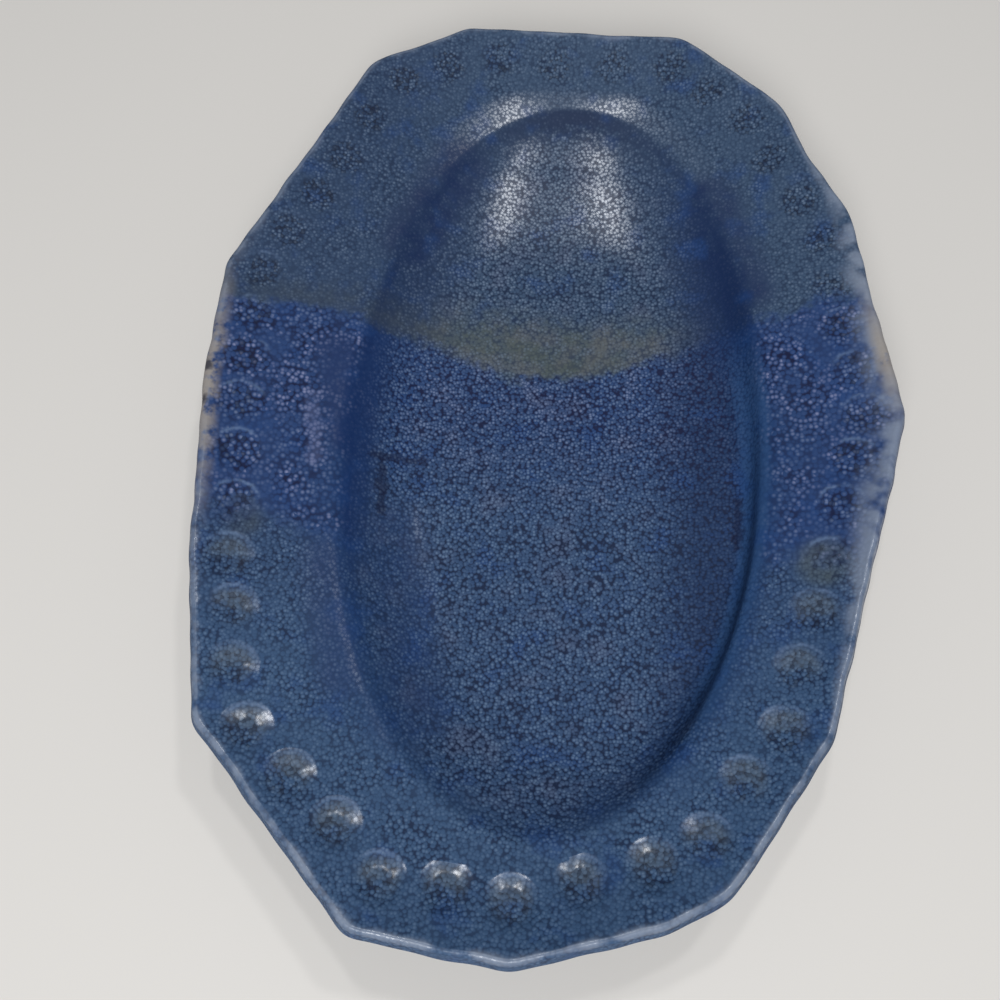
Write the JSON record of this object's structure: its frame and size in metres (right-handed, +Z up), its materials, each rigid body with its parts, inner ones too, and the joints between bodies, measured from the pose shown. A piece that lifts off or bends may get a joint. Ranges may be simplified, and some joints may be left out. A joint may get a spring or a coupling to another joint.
{
  "type": "serving platter",
  "caption": "Hand-built oval stoneware platter with a sunken well, a facet-cut rim pressed with round rosette stamps, a coiled foot ring and two overlapping blue glaze dips.",
  "frame": {"origin": "under the middle of the platter, on the surface that the foot ring stands on", "axes": "+Y along the well's long axis to the end covered by the first dip alone, +X across the platter, +Z up"},
  "size_m": [0.268, 0.3806, 0.0459],
  "materials": {
    "bare_clay": "unglazed fired stoneware",
    "slip": "fired clay slip",
    "first_glaze": "satin speckled blue glaze",
    "second_glaze": "satin speckled blue glaze, deeper where it lies over the first dip"
  },
  "bodies": {
    "root": {"clay_slab": "bare_clay", "foot_ring": "bare_clay", "foot_slip": "slip", "first_glaze_dip": "first_glaze", "second_glaze_dip": "second_glaze"}
  },
  "joints": []
}
